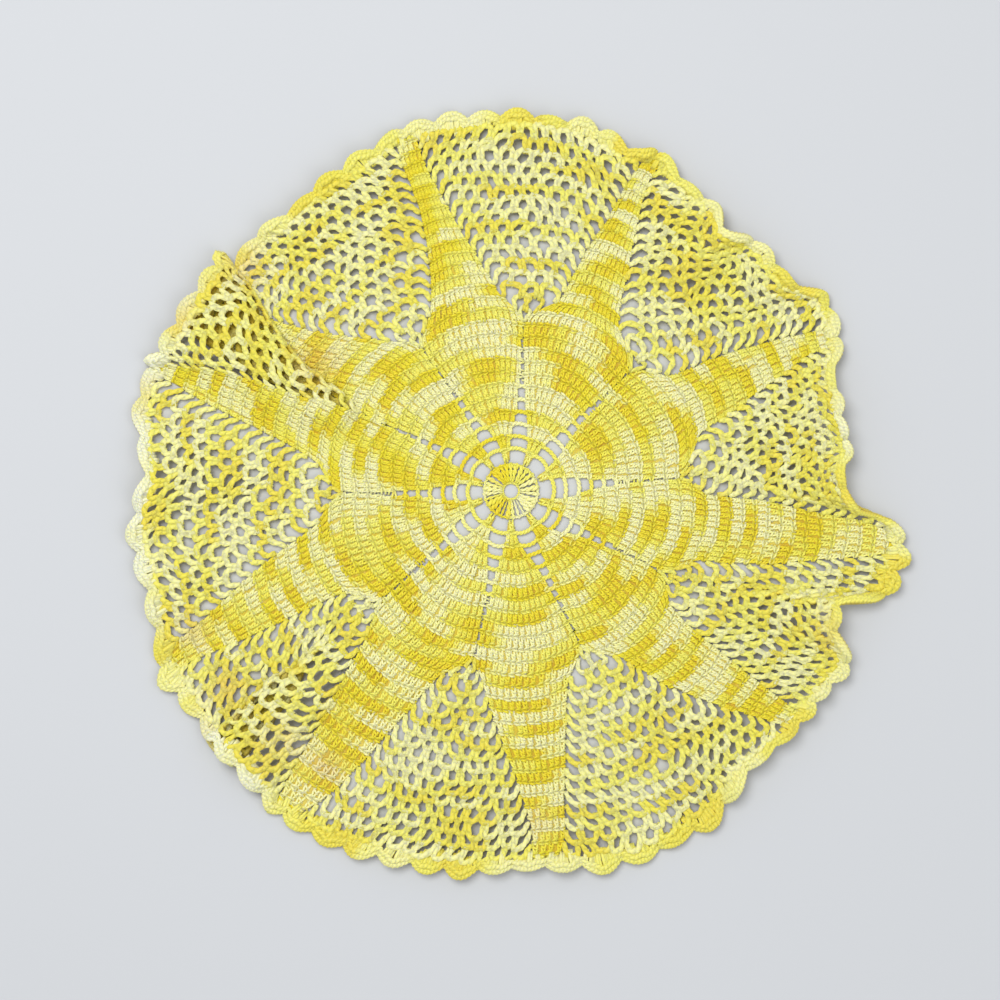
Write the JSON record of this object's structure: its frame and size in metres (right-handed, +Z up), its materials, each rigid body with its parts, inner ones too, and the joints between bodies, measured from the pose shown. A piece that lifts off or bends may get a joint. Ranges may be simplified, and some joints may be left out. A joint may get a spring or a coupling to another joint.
{
  "type": "doily",
  "caption": "Round lace doily crocheted in variegated cotton, with a ring, solid petals, fans of open net between them and a scalloped ruffled edge, lying flat with two folded pleats",
  "frame": {"origin": "centre of the doily's bounds in plan, at the height of the surface that it lies on", "axes": "+Z up out of the table, -Z is the side that rests on it; +X to the right and +Y to the top of the picture, seen from above"},
  "size_m": [0.3814, 0.375, 0.0167],
  "materials": {
    "crochet_cotton": "matte"
  },
  "bodies": {
    "root": {"doily": "crochet_cotton"}
  },
  "joints": []
}
